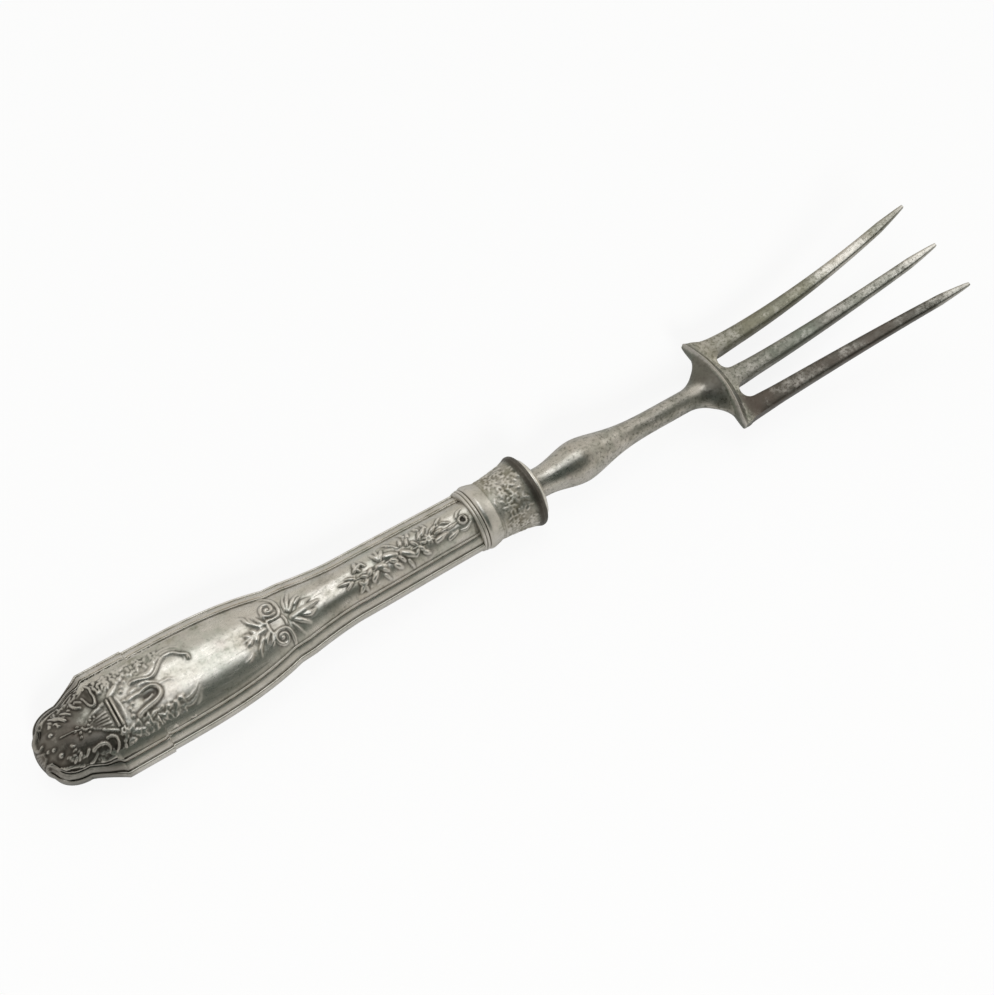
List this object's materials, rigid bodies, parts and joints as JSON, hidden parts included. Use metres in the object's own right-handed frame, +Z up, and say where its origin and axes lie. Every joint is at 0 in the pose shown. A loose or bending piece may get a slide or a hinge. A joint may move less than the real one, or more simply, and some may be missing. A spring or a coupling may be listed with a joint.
{
  "type": "roasting fork",
  "caption": "Long roasting or toasting fork with slender curved tines, a turned baluster shank and a hollow, stamped, ornamented handle closed round a tang.",
  "frame": {"origin": "middle of the bounding box on the surface that the fork lies on", "axes": "+X from the butt toward the tine points, +Y across, +Z up through the ornamented face"},
  "size_m": [0.2618, 0.0286, 0.023],
  "materials": {
    "fork_metal": "polished plated metal with a grey-brown tarnish, brighter toward the tine points",
    "cap_metal": "bright polished metal, lightly tarnished",
    "handle_metal": "stamped thin metal with polished fields, bright relief and dark tarnish in the recesses",
    "cement": "dark matt resin cement, unseen"
  },
  "bodies": {
    "root": {"fork": "fork_metal", "mouth_cap": "cap_metal", "handle_front": "handle_metal", "handle_back": "handle_metal", "handle_filling": "cement"}
  },
  "joints": []
}
